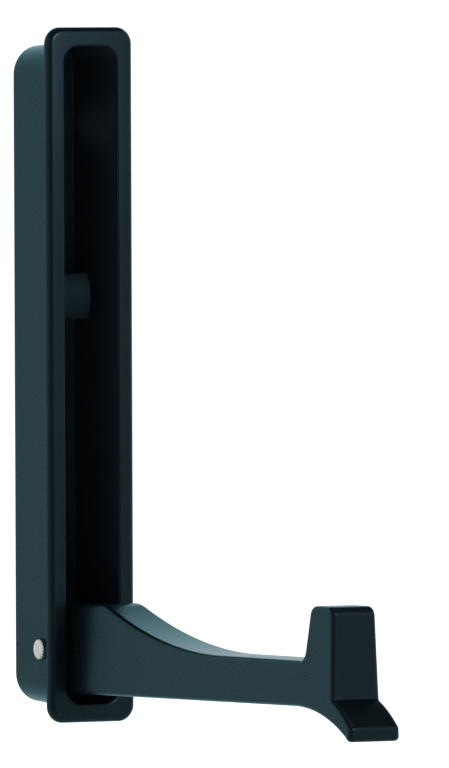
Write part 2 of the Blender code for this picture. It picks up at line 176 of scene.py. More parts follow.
def make_world():
    """A soft studio: pale walls, a dark ring round the ceiling, a dim floor and one dark end."""
    world = bpy.data.worlds.new("studio")
    bpy.context.scene.world = world
    world.use_nodes = True
    nodes, links = world.node_tree.nodes, world.node_tree.links
    nodes.clear()
    where = nodes.new("ShaderNodeTexCoord")

    split = nodes.new("ShaderNodeSeparateXYZ")
    links.new(where.outputs["Generated"], split.inputs[0])
    height = nodes.new("ShaderNodeMapRange")
    height.inputs["From Min"].default_value = -1
    links.new(split.outputs["Z"], height.inputs["Value"])
    by_height = nodes.new("ShaderNodeValToRGB")
    fill_ramp(by_height, HEIGHT_STOPS)
    links.new(height.outputs[0], by_height.inputs[0])

    toward = nodes.new("ShaderNodeVectorMath")
    toward.operation = "DOT_PRODUCT"
    toward.inputs[1].default_value = DARK_END
    links.new(where.outputs["Generated"], toward.inputs[0])
    turn = nodes.new("ShaderNodeMapRange")
    turn.inputs["From Min"].default_value = -1
    links.new(toward.outputs["Value"], turn.inputs["Value"])
    by_turn = nodes.new("ShaderNodeValToRGB")
    fill_ramp(by_turn, TURN_STOPS)
    links.new(turn.outputs[0], by_turn.inputs[0])

    room = nodes.new("ShaderNodeMix")
    room.data_type = "RGBA"
    room.blend_type = "MULTIPLY"
    room.inputs["Factor"].default_value = 1.0
    links.new(by_height.outputs[0], room.inputs["A"])
    links.new(by_turn.outputs[0], room.inputs["B"])

    studio = nodes.new("ShaderNodeBackground")
    studio.inputs["Strength"].default_value = STUDIO_STRENGTH
    links.new(room.outputs["Result"], studio.inputs["Color"])
    backdrop = nodes.new("ShaderNodeBackground")
    backdrop.inputs["Color"].default_value = (1, 1, 1, 1)
    backdrop.inputs["Strength"].default_value = BACKDROP_STRENGTH
    path = nodes.new("ShaderNodeLightPath")
    choose = nodes.new("ShaderNodeMixShader")
    links.new(path.outputs["Is Camera Ray"], choose.inputs[0])
    links.new(studio.outputs[0], choose.inputs[1])
    links.new(backdrop.outputs[0], choose.inputs[2])
    out = nodes.new("ShaderNodeOutputWorld")
    links.new(choose.outputs[0], out.inputs[0])


def make_stage():
    """A pale floor out to the horizon, seen by the camera but not in reflections."""
    mesh = bpy.data.meshes.new("floor")
    bm = bmesh.new()
    bmesh.ops.create_grid(bm, x_segments=2, y_segments=2, size=FLOOR_HALF_WIDTH)
    bm.to_mesh(mesh)
    bm.free()
    floor = bpy.data.objects.new("floor", mesh)
    floor.location.z = cad_bounds[0].z - FLOOR_DROP
    floor.visible_glossy = False
    bpy.context.scene.collection.objects.link(floor)
    paint = bpy.data.materials.new("floor_white")
    paint.use_nodes = True
    shader = paint.node_tree.nodes["Principled BSDF"]
    shader.inputs["Base Color"].default_value = (FLOOR_WHITE, FLOOR_WHITE, FLOOR_WHITE, 1)
    shader.inputs["Roughness"].default_value = FLOOR_ROUGHNESS
    shader.inputs["Specular IOR Level"].default_value = 0.0
    shader.inputs["Emission Color"].default_value = (1, 1, 1, 1)
    shader.inputs["Emission Strength"].default_value = FLOOR_GLOW
    mesh.materials.append(paint)


def make_light(name, place, target, size, power, glossy):
    """An area light that the camera doesn't see."""
    data = bpy.data.lights.new(name, "AREA")
    data.shape = "RECTANGLE"
    data.size, data.size_y = size
    data.energy = power
    light = bpy.data.objects.new(name, data)
    light.location = place
    aim = Vector(target) - Vector(place)
    light.rotation_euler = aim.to_track_quat("-Z", "Y").to_euler()
    light.visible_glossy = glossy
    light.visible_camera = False
    bpy.context.scene.collection.objects.link(light)


def make_lights():
    """The ceiling light, which isn't mirrored in the castings, and the two that are."""
    make_light("overhead", OVERHEAD_PLACE, OVERHEAD_TARGET, OVERHEAD_SIZE, OVERHEAD_POWER, False)
    make_light("side_panel", SIDE_PANEL_PLACE, SIDE_PANEL_TARGET, SIDE_PANEL_SIZE, SIDE_PANEL_POWER,
               True)
    make_light("corner_lamp", CORNER_LAMP_PLACE, CORNER_LAMP_TARGET, CORNER_LAMP_SIZE,
               CORNER_LAMP_POWER, True)


# ---------------------------------------------------------------- materials

# A wave texture at scale 1 has rings this many to the unit
WAVE_PITCH_FACTOR = 20

# The part of a noise's range that is spread over the values asked for
NOISE_LOW = 0.3
NOISE_HIGH = 0.7


class Paint:
    """A Principled material whose nodes are wired by short calls."""

    def __init__(self, name, colour, roughness, metallic=0.0, **sockets):
        self.material = bpy.data.materials.new(name)
        self.material.use_nodes = True
        tree = self.material.node_tree
        self.nodes, self.links = tree.nodes, tree.links
        self.shader = self.nodes["Principled BSDF"]
        self.shader.inputs["Base Color"].default_value = (*colour, 1)
        self.shader.inputs["Roughness"].default_value = roughness
        self.shader.inputs["Metallic"].default_value = metallic
        for socket, value in sockets.items():
            self.shader.inputs[socket.replace("_", " ")].default_value = value
        self.place = self.nodes.new("ShaderNodeTexCoord").outputs["Object"]

    def noise(self, size, detail=2.0, stretch=(1, 1, 1)):
        """Noise whose features are about `size` metres across; stretch slows it along an axis."""
        mapping = self.nodes.new("ShaderNodeMapping")
        mapping.inputs["Scale"].default_value = [1 / (size * factor) for factor in stretch]
        self.links.new(self.place, mapping.inputs[0])
        noise = self.nodes.new("ShaderNodeTexNoise")
        noise.inputs["Scale"].default_value = 1.0
        noise.inputs["Detail"].default_value = detail
        self.links.new(mapping.outputs[0], noise.inputs["Vector"])
        return noise.outputs["Fac"]

    def rings(self, pitch, axis, distortion):
        """Turning marks: rings about an axis through the piece's origin."""
        wave = self.nodes.new("ShaderNodeTexWave")
        wave.wave_type = "RINGS"
        wave.rings_direction = axis
        wave.inputs["Scale"].default_value = 1 / (pitch * WAVE_PITCH_FACTOR)
        wave.inputs["Distortion"].default_value = distortion
        wave.inputs["Detail"].default_value = 2
        self.links.new(self.place, wave.inputs["Vector"])
        return wave.outputs["Fac"]

    def spread(self, source, low, high):
        """Map a noise onto a range of values."""
        node = self.nodes.new("ShaderNodeMapRange")
        node.inputs["From Min"].default_value = NOISE_LOW
        node.inputs["From Max"].default_value = NOISE_HIGH
        node.inputs["To Min"].default_value = low
        node.inputs["To Max"].default_value = high
        self.links.new(source, node.inputs["Value"])
        return node.outputs[0]

    def vary_colour(self, source, first, second):
        """Colour between two tones by a noise."""
        mix = self.nodes.new("ShaderNodeMix")
        mix.data_type = "RGBA"
        self.links.new(self.spread(source, 0, 1), mix.inputs["Factor"])
        mix.inputs["A"].default_value = (*first, 1)
        mix.inputs["B"].default_value = (*second, 1)
        self.links.new(mix.outputs["Result"], self.shader.inputs["Base Color"])

    def vary_roughness(self, source, low, high):
        """Roughness between two values by a noise."""
        self.links.new(self.spread(source, low, high), self.shader.inputs["Roughness"])

    def bump(self, source, depth):
        """Relief `depth` metres deep, stacked on any relief already there."""
        bump = self.nodes.new("ShaderNodeBump")
        bump.inputs["Distance"].default_value = depth
        self.links.new(source, bump.inputs["Height"])
        target = self.shader.inputs["Normal"]
        if target.is_linked:
            self.links.new(target.links[0].from_socket, bump.inputs["Normal"])
        self.links.new(bump.outputs[0], target)


def satin_coat():
    """Blue-black satin coating on a smooth die casting."""
    paint = Paint("satin_coat", (0.0238, 0.0457, 0.0565), 0.27, metallic=0.9,
                  Specular_Tint=(0.62, 0.92, 1.0, 1))
    cloud = paint.noise(12 * MM, detail=3)
    grain = paint.noise(0.16 * MM, detail=3)
    paint.vary_colour(cloud, (0.0225, 0.0435, 0.054), (0.025, 0.048, 0.059))
    paint.vary_roughness(grain, 0.24, 0.31)
    paint.bump(paint.noise(1.6 * MM, detail=1), 0.0008 * MM)
    paint.bump(grain, 0.0006 * MM)
    return paint.material


def recess_shade_coat():
    """The same coating, painted darker down inside the recess: painted shade for the little light that
    reaches there.
    """
    paint = Paint("recess_shade_coat", (0.012, 0.021, 0.030), 0.58, metallic=0.5,
                  Specular_Tint=(0.55, 0.85, 1.0, 1))
    grain = paint.noise(0.22 * MM, detail=4)
    cloud = paint.noise(5 * MM, detail=3)
    paint.vary_colour(cloud, (0.0105, 0.0185, 0.0265), (0.0135, 0.0235, 0.0335))
    paint.vary_roughness(grain, 0.55, 0.68)
    paint.bump(grain, 0.008 * MM)
    return paint.material


def bright_steel():
    """Plated steel with fine turning marks round its own axis."""
    paint = Paint("turned_steel", (0.88, 0.92, 0.86), 0.20, metallic=1.0)
    marks = paint.rings(0.09 * MM, "X", 1.2)
    paint.vary_colour(paint.noise(1.2 * MM, detail=3), (0.84, 0.89, 0.83), (0.92, 0.95, 0.89))
    paint.vary_roughness(paint.noise(0.3 * MM, detail=3), 0.17, 0.28)
    paint.bump(marks, 0.0012 * MM)
    return paint.material


def ball_steel():
    """Lapped bearing steel with faint random scratches."""
    paint = Paint("lapped_steel", (0.74, 0.75, 0.74), 0.12, metallic=1.0)
    scratch = paint.noise(0.25 * MM, detail=4, stretch=(1, 6, 1))
    paint.vary_colour(paint.noise(0.8 * MM), (0.70, 0.71, 0.70), (0.78, 0.79, 0.78))
    paint.vary_roughness(scratch, 0.08, 0.16)
    paint.bump(scratch, 0.0006 * MM)
    return paint.material


def spring_wire():
    """Drawn spring wire, a little oiled."""
    paint = Paint("drawn_wire", (0.42, 0.43, 0.44), 0.30, metallic=1.0)
    drawn = paint.noise(0.12 * MM, detail=3)
    paint.vary_colour(paint.noise(0.6 * MM), (0.36, 0.37, 0.38), (0.48, 0.48, 0.48))
    paint.vary_roughness(drawn, 0.24, 0.38)
    paint.bump(drawn, 0.001 * MM)
    return paint.material


def sintered_bronze():
    """Porous, oil-stained bronze."""
    paint = Paint("sintered_bronze", (0.42, 0.27, 0.12), 0.42, metallic=1.0)
    pores = paint.noise(0.09 * MM, detail=4)
    paint.vary_colour(paint.noise(0.35 * MM, detail=4), (0.30, 0.18, 0.08), (0.50, 0.33, 0.16))
    paint.vary_roughness(pores, 0.34, 0.55)
    paint.bump(pores, 0.006 * MM)
    return paint.material


def black_nylon():
    """Black moulded nylon with a fine spark-eroded skin."""
    paint = Paint("black_nylon", (0.005, 0.011, 0.015), 0.52, Specular_IOR_Level=0.24,
                  Specular_Tint=(0.45, 0.80, 1.0, 1))
    skin = paint.noise(0.14 * MM, detail=3)
    paint.vary_colour(paint.noise(3 * MM), (0.004, 0.009, 0.013), (0.006, 0.013, 0.017))
    paint.vary_roughness(skin, 0.44, 0.58)
    paint.bump(skin, 0.004 * MM)
    return paint.material


def black_rubber():
    """Matt moulded rubber."""
    paint = Paint("black_rubber", (0.003, 0.006, 0.008), 0.78, Specular_IOR_Level=0.12,
                  Specular_Tint=(0.40, 0.80, 1.0, 1))
    skin = paint.noise(0.2 * MM, detail=4)
    paint.vary_colour(paint.noise(1.5 * MM, detail=3), (0.002, 0.005, 0.007), (0.004, 0.007, 0.009))
    paint.vary_roughness(skin, 0.70, 0.86)
    paint.bump(skin, 0.010 * MM)
    return paint.material


# ---------------------------------------------------------------- mesh helpers

SMOOTH_ANGLE = math.radians(32)


def new_object(name, bm, material, location=(0, 0, 0)):
    """A mesh object with outward normals, from a bmesh built about its own origin."""
    bmesh.ops.recalc_face_normals(bm, faces=bm.faces)
    mesh = bpy.data.meshes.new(name)
    bm.to_mesh(mesh)
    bm.free()
    mesh.materials.append(material)
    piece = bpy.data.objects.new(name, mesh)
    piece.location = location
    bpy.context.scene.collection.objects.link(piece)
    return piece


def finish_piece(piece, node, body):
    """Shade a piece smooth between its real edges, and put it in a CAD node's place."""
    piece.data.shade_smooth()
    piece.data.set_sharp_from_angle(angle=SMOOTH_ANGLE)
    even = piece.modifiers.new("even_shading", "WEIGHTED_NORMAL")
    even.keep_sharp = True
    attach(piece, body)
    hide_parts(node)


def skin(bm, rings, closed=False, material_index=None):
    """Join a chain of rings that have the same number of vertices; cap the ends if open."""
    pairs = list(zip(rings, rings[1:]))
    if closed:
        pairs.append((rings[-1], rings[0]))
    for number, (ring, following) in enumerate(pairs):
        for index in range(len(ring)):
            face = bm.faces.new((ring[index - 1], ring[index], following[index], following[index - 1]))
            if material_index:
                face.material_index = material_index(number)
    if not closed:
        bm.faces.new(rings[0])
        last = bm.faces.new(rings[-1])
        if material_index:
            last.material_index = material_index(len(pairs))


def circle(bm, radius, x, count, shape=None):
    """A ring of vertices round the X axis; shape(angle) adds to the radius."""
    verts = []
    for index in range(count):
        angle = FULL_TURN * index / count
        reach = radius + (shape(angle) if shape else 0.0)
        verts.append(bm.verts.new((x, reach * math.cos(angle), reach * math.sin(angle))))
    return verts


def turned(bm, profile, count, closed=False):
    """A body turned about the X axis from (radius, x) points."""
    skin(bm, [circle(bm, radius, x, count) for radius, x in profile], closed)


def quarter_round(radius, steps):
    """Offsets (inward, along) round a quarter from the side to the end face."""
    angles = [step * math.pi / 2 / steps for step in range(steps + 1)]
    return [(radius * (1 - math.cos(a)), radius * (1 - math.sin(a))) for a in angles]


def move(bm, matrix):
    """Transform a whole bmesh."""
    bmesh.ops.transform(bm, matrix=matrix, verts=bm.verts)


def merge(bm, other):
    """Add another bmesh's geometry, and free it."""
    mesh = bpy.data.meshes.new("part")
    other.to_mesh(mesh)
    other.free()
    bm.from_mesh(mesh)
    bpy.data.meshes.remove(mesh)


def combine(piece, other, operation):
    """Cut a closed body out of a piece or weld it on, and leave the piece a plain mesh."""
    modifier = piece.modifiers.new("combine", "BOOLEAN")
    modifier.operation = operation
    modifier.solver = "EXACT"
    modifier.object = other
    bpy.context.view_layer.update()
    evaluated = piece.evaluated_get(bpy.context.evaluated_depsgraph_get())
    mesh = bpy.data.meshes.new_from_object(evaluated)
    piece.modifiers.clear()
    piece.data = mesh
    bpy.data.objects.remove(other, do_unlink=True)


# ---------------------------------------------------------------- case

FLANGE_THICKNESS = -CASE_LOW.y
FLANGE_WIDTH = CASE_HIGH.x - CASE_LOW.x
FLANGE_HEIGHT = CASE_HIGH.z - CASE_LOW.z
FLANGE_CORNER = 3.2 * MM
FLANGE_FRONT_ROUND = 1.2 * MM
FLANGE_BACK_ROUND = 0.15 * MM

BODY_WIDTH = 14.4 * MM
BODY_HEIGHT = 125.1 * MM
BODY_DEPTH = CASE_HIGH.y
BODY_CORNER = 5.5 * MM
BODY_END_DRAFT = 0.85 * MM
BODY_SIDE_DRAFT = 0.2 * MM
BODY_REAR_ROUND = 0.5 * MM
BODY_ROOT_FILLET = 0.25 * MM

RECESS_WIDTH = 11.4 * MM
RECESS_HEIGHT = 123.0 * MM
RECESS_CORNER = 3.1 * MM
RECESS_SIDE_DRAFT = 0.1 * MM
RECESS_END_DRAFT = 0.3 * MM
RECESS_FLOOR_FILLET = 0.5 * MM
MOUTH_ROUND = 0.5 * MM
BACK_WALL = 1.2 * MM

CORNER_STEPS = 14
ROUND_STEPS = 6
SEAM_RISE = 0.03 * MM
SEAM_HALF_WIDTH = 0.25 * MM

PIN_RADIUS = 1.95 * MM
PIN_HOLE_RADIUS = PIN_RADIUS + 0.04 * MM
PIN_HOLE_BREAK = 0.15 * MM

CUTTER_MARGIN = 0.4 * MM
CUTTER_REACH = 1.0 * MM
PIN_HOLE_SIDES = 72
ROUND_HOLE_SIDES = 64

FIXING_UP = 98.2 * MM
FIXING_HEAD_RADIUS = 3.5 * MM
FIXING_HOLE_RADIUS = 2.3 * MM

DETENT_U = -1.5 * MM
DETENT_W = 5.6 * MM
DIMPLE_RADIUS = 1.5 * MM
DIMPLE_CENTRE_X = 4.45 * MM
FOLD_ANGLE = math.radians(88.5)


def case_ring(bm, width, height, corner, y, rise=0.0):
    """A rounded rectangle at depth y, with points for the witness seam on both long sides."""
    verts = []
    for quarter in range(4):
        side_x = 1 if quarter in (0, 3) else -1
        side_z = 1 if quarter in (0, 1) else -1
        centre_x = side_x * (width / 2 - corner)
        centre_z = MID_Z + side_z * (height / 2 - corner)
        for step in range(CORNER_STEPS + 1):
            angle = (quarter + step / CORNER_STEPS) * math.pi / 2
            x = centre_x + corner * math.cos(angle)
            z = centre_z + corner * math.sin(angle)
            verts.append(bm.verts.new((x, y, z)))
        if quarter in (1, 3):
            for offset in (-1, 0, 1):
                x = side_x * (width / 2 + (rise if offset == 0 else 0.0))
                z = MID_Z - side_z * offset * SEAM_HALF_WIDTH
                verts.append(bm.verts.new((x, y, z)))
    return verts


def case_sections():
    """Ring arguments from the outer back round the flange to the recess floor."""
    rear_width = BODY_WIDTH - 2 * BODY_SIDE_DRAFT
    rear_height = BODY_HEIGHT - 2 * BODY_END_DRAFT
    outside = []
    for inward, along in reversed(quarter_round(BODY_REAR_ROUND, ROUND_STEPS)):
        width = rear_width - 2 * inward
        height = rear_height - 2 * inward
        outside.append((width, height, BODY_CORNER - inward, BODY_DEPTH - along))
    for inward, along in quarter_round(BODY_ROOT_FILLET, ROUND_STEPS // 2):
        width = BODY_WIDTH + 2 * inward
        outside.append((width, BODY_HEIGHT + 2 * inward, BODY_CORNER + inward, along))
    outside = [(*section, SEAM_RISE) for section in outside]

    flange = []
    for inward, along in reversed(quarter_round(FLANGE_BACK_ROUND, ROUND_STEPS // 2)):
        flange.append((inward, -along))
    for inward, along in quarter_round(FLANGE_FRONT_ROUND, ROUND_STEPS):
        flange.append((inward, along - FLANGE_THICKNESS))
    front = [(FLANGE_WIDTH - 2 * inward, FLANGE_HEIGHT - 2 * inward, FLANGE_CORNER - inward, y)
             for inward, y in flange]

    recess = []
    for inward, along in reversed(quarter_round(MOUTH_ROUND, ROUND_STEPS)):
        y = along - FLANGE_THICKNESS
        recess.append((RECESS_WIDTH + 2 * inward, RECESS_HEIGHT + 2 * inward, RECESS_CORNER + inward, y))
    floor_y = BODY_DEPTH - BACK_WALL
    inner_width = RECESS_WIDTH - 2 * RECESS_SIDE_DRAFT
    inner_height = RECESS_HEIGHT - 2 * RECESS_END_DRAFT
    for inward, along in quarter_round(RECESS_FLOOR_FILLET, ROUND_STEPS // 2):
        y = floor_y - along
        corner = RECESS_CORNER - inward
        recess.append((inner_width - 2 * inward, inner_height - 2 * inward, corner, y))
    return outside, front, recess


def detent_place(angle):
    """Where the detent lies as (y, z) once the arm has folded up by an angle."""
    forward = DETENT_U * math.cos(angle) - DETENT_W * math.sin(angle)
    up = DETENT_U * math.sin(angle) + DETENT_W * math.cos(angle)
    return PIVOT.y - forward, PIVOT.z + up


def case_cutters(bm):
    """The holes: the pin's, the fixing screw's, the buffer stem's and the detent's dimples."""
    wall_x = BODY_WIDTH / 2
    out_x = wall_x + CUTTER_REACH
    flare = PIN_HOLE_RADIUS + PIN_HOLE_BREAK + CUTTER_REACH
    profile = [(flare, -out_x), (PIN_HOLE_RADIUS, -wall_x + PIN_HOLE_BREAK),
               (PIN_HOLE_RADIUS, wall_x - PIN_HOLE_BREAK), (flare, out_x)]
    hole = bmesh.new()
    turned(hole, profile, PIN_HOLE_SIDES)
    move(hole, Matrix.Translation(PIVOT))
    merge(bm, hole)

    inside, outside = -BACK_WALL - CUTTER_MARGIN, CUTTER_MARGIN
    slope = (FIXING_HEAD_RADIUS - FIXING_HOLE_RADIUS) / BACK_WALL
    countersink = [(FIXING_HEAD_RADIUS + slope * CUTTER_MARGIN, inside),
                   (FIXING_HOLE_RADIUS, 0), (FIXING_HOLE_RADIUS, outside)]
    stem = box_centre("rest_buffer")
    stem_hole = [(STEM_RADIUS + STEM_GAP, inside), (STEM_RADIUS + STEM_GAP, outside)]
    for profile, z in ((countersink, PIVOT.z + FIXING_UP), (stem_hole, stem.z)):
        hole = bmesh.new()
        turned(hole, profile, ROUND_HOLE_SIDES)
        turn = Matrix.Rotation(math.pi / 2, 4, "Z")
        move(hole, Matrix.Translation((0, BODY_DEPTH, z)) @ turn)
        merge(bm, hole)

    for angle in (0.0, FOLD_ANGLE):
        y, z = detent_place(angle)
        for sign in (-1, 1):
            place = Matrix.Translation((sign * DIMPLE_CENTRE_X, y, z))
            bmesh.ops.create_uvsphere(bm, u_segments=40, v_segments=24,
                                      radius=DIMPLE_RADIUS, matrix=place)


def make_case(coat, shade_coat):
    """The casting: flange, body and recess in one skin, with its holes cut."""
    outside, front, recess = case_sections()
    bm = bmesh.new()
    rings = [case_ring(bm, *section) for section in outside + front + recess]
    # From the end of the mouth's round inwards, the recess takes the darker coat: painted shade inside
    # the recess.
    first_shaded = len(outside) + len(front) + ROUND_STEPS
    skin(bm, rings, material_index=lambda number: int(number >= first_shaded))
    case = new_object("case_shell", bm, coat)
    case.data.materials.append(shade_coat)

    bm = bmesh.new()
    case_cutters(bm)
    combine(case, new_object("case_holes", bm, shade_coat), "DIFFERENCE")
    finish_piece(case, "recessed_case", "case")


# ---------------------------------------------------------------- hook arm

# The arm's width is given at the pivot: the flare widens it along U, the draft narrows it along W
ARM_WIDTH = 9.04 * MM
ARM_FLARE = 0.0097
ARM_SIDE_DRAFT = 0.066
ARM_EDGE_ROUND = 0.85 * MM
HEEL_RADIUS = 8.2 * MM
HUB_TOP = (17.6 * MM, 9.0 * MM)
HUB_CORNER = 9.0 * MM
SWEEP_END_U = 59.7 * MM
SWEEP_STEPS = 40
SHORTEST_STEP = 0.2 * MM
UNDER_SWEEP_STEPS = 14
CROWN_STEPS = 8
HEEL_STEPS = 60
FEW_STEPS = 6
SMOOTH_STEPS = 12
BEAM_TOP_W = 0.75 * MM
BEAM_BOTTOM_W = -7.7 * MM
FINGER_BACK_U = 90.2 * MM
FINGER_TOP_U = (92.2 * MM, 100.2 * MM)
FINGER_TOP_W = 10.85 * MM
FINGER_TOP_CORNER = 1.8 * MM
FINGER_FILLET = 2.2 * MM
FINGER_FRONT_U = 100.7 * MM
LIP_START_W = -6.1 * MM
LIP_TIP_U = 107.3 * MM
LIP_TIP_W = (-10.9 * MM, -13.6 * MM)
LIP_TIP_CORNERS = (1.3 * MM, 0.9 * MM)
LIP_CROWN = 0.4 * MM
LIP_FOOT_ROUND = 0.6 * MM
LIP_SOLE_ROUND = 0.9 * MM
LIP_SOLE_U = 106.0 * MM
UNDER_SWEEP_U = (86.5 * MM, 105.0 * MM)
UNDER_SWEEP_ANGLE = math.radians(31)
HUB_BORE_RADIUS = 3.06 * MM
DETENT_BORE_RADIUS = 1.27 * MM
BORE_BREAK = 0.2 * MM
HUB_BORE_SIDES = 96
DETENT_BORE_SIDES = 48


def arc(centre, radius, start, end, steps):
    """Points on an arc in the UW plane; angles in degrees, counted from U towards W."""
    points = []
    for step in range(steps + 1):
        angle = math.radians(start + (end - start) * step / steps)
        points.append(Vector((centre[0] + radius * math.cos(angle),
                              centre[1] + radius * math.sin(angle))))
    return points


def rounded_corner(before, corner, after, radius, steps=10):
    """Replace a corner by an arc tangent to both of its sides."""
    corner = Vector(corner)
    to_before = (Vector(before) - corner).normalized()
    to_after = (Vector(after) - corner).normalized()
    half = to_before.angle(to_after) / 2
    reach = radius / math.tan(half)
    centre = corner + (to_before + to_after).normalized() * radius / math.sin(half)
    first = corner + to_before * reach - centre
    last = corner + to_after * reach - centre
    turn = first.angle_signed(last)
    return [centre + Matrix.Rotation(-turn * step / steps, 2) @ first for step in range(steps + 1)]


def arm_outline():
    """The arm's side view from the pivot, anticlockwise from the bottom of the beam."""
    under_radius = (UNDER_SWEEP_U[1] - UNDER_SWEEP_U[0]) / math.sin(UNDER_SWEEP_ANGLE)
    under_centre = (UNDER_SWEEP_U[0], BEAM_BOTTOM_W - under_radius)
    under_end = 90 - math.degrees(UNDER_SWEEP_ANGLE)
    points = arc(under_centre, under_radius, 90, under_end, UNDER_SWEEP_STEPS)

    sole = (LIP_SOLE_U, LIP_TIP_W[1])
    low = (LIP_TIP_U, LIP_TIP_W[1])
    high = (LIP_TIP_U, LIP_TIP_W[0])
    foot = (FINGER_FRONT_U, LIP_START_W)
    middle = ((LIP_TIP_U + FINGER_FRONT_U) / 2, (LIP_TIP_W[0] + LIP_START_W) / 2 + LIP_CROWN)
    front_top = (FINGER_TOP_U[1], FINGER_TOP_W)
    back_top = (FINGER_TOP_U[0], FINGER_TOP_W)
    back_foot = (FINGER_BACK_U, BEAM_TOP_W)
    sweep_end = (SWEEP_END_U, BEAM_TOP_W)

    points += rounded_corner(points[-1], sole, low, LIP_SOLE_ROUND, FEW_STEPS)
    points += rounded_corner(sole, low, high, LIP_TIP_CORNERS[1], FEW_STEPS)
    points += rounded_corner(low, high, middle, LIP_TIP_CORNERS[0])
    crown_start = points[-1]
    crown_end = rounded_corner(middle, foot, front_top, LIP_FOOT_ROUND, 4)
    points += bulged(crown_start, Vector(middle), crown_end[0], CROWN_STEPS)
    points += crown_end
    points += rounded_corner(foot, front_top, back_top, FINGER_TOP_CORNER)
    points += rounded_corner(front_top, back_top, back_foot, FINGER_TOP_CORNER)
    points += rounded_corner(back_top, back_foot, sweep_end, FINGER_FILLET, SMOOTH_STEPS)

    rise = HUB_TOP[1] - BEAM_TOP_W
    run = SWEEP_END_U - HUB_TOP[0]
    sweep = []
    for step in range(SWEEP_STEPS + 1):
        t = step / SWEEP_STEPS
        sweep.append(Vector((SWEEP_END_U - run * t, BEAM_TOP_W + rise * t * t)))
    shoulder = rounded_corner(sweep[-2], HUB_TOP, (0.0, HEEL_RADIUS), HUB_CORNER, SMOOTH_STEPS)
    points += [point for point in sweep if point.x > shoulder[0].x + SHORTEST_STEP]
    points += shoulder
    points += arc((0, 0), HEEL_RADIUS, 90, 270, HEEL_STEPS)
    return points


def bulged(start, through, end, steps):
    """Points strictly between two ends on a parabola whose middle passes near a point."""
    control = through * 2 - (start + end) / 2
    points = []
    for step in range(1, steps):
        t = step / steps
        points.append(start * (1 - t) ** 2 + control * 2 * t * (1 - t) + end * t * t)
    return points


def inward_normals(outline):
    """At each outline point, the inward direction, longer at corners so that offsets stay parallel."""
    normals = []
    for index, point in enumerate(outline):
        before = (point - outline[index - 1]).normalized()
        after = (outline[(index + 1) % len(outline)] - point).normalized()
        left = Vector((-before.y - after.y, before.x + after.x)).normalized()
        normals.append(left / max(left.dot(Vector((-before.y, before.x))), 0.5))
    return normals


def slab(bm, outline, width, edge_round, steps=5):
    """A plate with a UW outline, centred on X, whose edges are rounded all the way round."""
    normals = inward_normals(outline)
    edge = reversed(quarter_round(edge_round, steps))
    layers = [(inward, along - width / 2) for inward, along in edge]
    layers += [(inward, -x) for inward, x in reversed(layers)]
    rings = []
    for inward, x in layers:
        ring = []
        for point, normal in zip(outline, normals):
            u, w = point + normal * inward
            ring.append(bm.verts.new((x, -u, w)))
        rings.append(ring)
    skin(bm, rings)


def bore_profile(radius, half_width):
    """A through bore with its two mouths broken."""
    out_x = half_width + CUTTER_REACH
    flare = radius + BORE_BREAK + CUTTER_REACH
    return [(flare, -out_x), (radius, -half_width + BORE_BREAK),
            (radius, half_width - BORE_BREAK), (flare, out_x)]


def make_arm(coat):
    """The folding arm: a rounded slab that flares and drafts, bored for the bush and the detent."""
    bm = bmesh.new()
    outline = arm_outline()
    slab(bm, outline, ARM_WIDTH, ARM_EDGE_ROUND)
    for vert in bm.verts:
        vert.co.x *= 1 - (ARM_FLARE * vert.co.y + ARM_SIDE_DRAFT * vert.co.z) / ARM_WIDTH
    arm = new_object("cast_arm", bm, coat, PIVOT)

    bm = bmesh.new()
    turned(bm, bore_profile(HUB_BORE_RADIUS, ARM_WIDTH / 2), HUB_BORE_SIDES)
    detent = bmesh.new()
    turned(detent, bore_profile(DETENT_BORE_RADIUS, ARM_WIDTH / 2), DETENT_BORE_SIDES)
    move(detent, Matrix.Translation((0, -DETENT_U, DETENT_W)))
    merge(bm, detent)
    combine(arm, new_object("arm_bores", bm, coat, PIVOT), "DIFFERENCE")
    finish_piece(arm, "hook_arm", "arm")


# ---------------------------------------------------------------- pivot pieces

PIN_SPLINES = 18
PIN_SPLINE_LENGTH = 2.9 * MM
PIN_SPLINE_DEPTH = 0.22 * MM
PIN_SPLINE_RUNOUT = 0.35 * MM
PIN_CHAMFER = 0.28 * MM
PIN_SHOULDER = (0.08 * MM, 0.12 * MM)
PIN_SHOULDER_GROOVE = 0.8 * PIN_SPLINE_DEPTH
PIN_FACE_RISE = 0.02 * MM
PIN_FACE_RINGS = (0.6 * PIN_RADIUS, 0.2 * PIN_RADIUS)
POINTS_PER_SPLINE = 8

BUSH_ON_PIN_GAP = 0.05 * MM
BUSH_IN_HUB_GAP = 0.01 * MM
RUNNING_GAP = 0.25 * MM
EDGE_BREAK = 0.12 * MM
SLEEVE_SIDES = 96
SLEEVE_EDGE_STEPS = 4
BALL_CUTS = 11


def spline_shape(depth):
    """Radius change round the pin: flat-topped teeth with rounded grooves between them."""
    def shape(angle):
        wave = 0.5 - 0.5 * math.cos(angle * PIN_SPLINES)
        return -depth * wave ** 3
    return shape


def pin_sections(half_length):
    """(radius, x, groove depth) from the middle of the pin to the edge of its end face."""
    runout = half_length - PIN_SPLINE_LENGTH
    inset, back = PIN_SHOULDER
    return [(PIN_RADIUS, 0.0, 0.0),
            (PIN_RADIUS, runout - PIN_SPLINE_RUNOUT, 0.0),
            (PIN_RADIUS, runout, PIN_SPLINE_DEPTH),
            (PIN_RADIUS, half_length - PIN_CHAMFER, PIN_SPLINE_DEPTH),
            (PIN_RADIUS - inset, half_length - back, PIN_SHOULDER_GROOVE),
            (PIN_RADIUS - PIN_CHAMFER, half_length - PIN_FACE_RISE, 0.0),
            *((radius, half_length, 0.0) for radius in PIN_FACE_RINGS)]


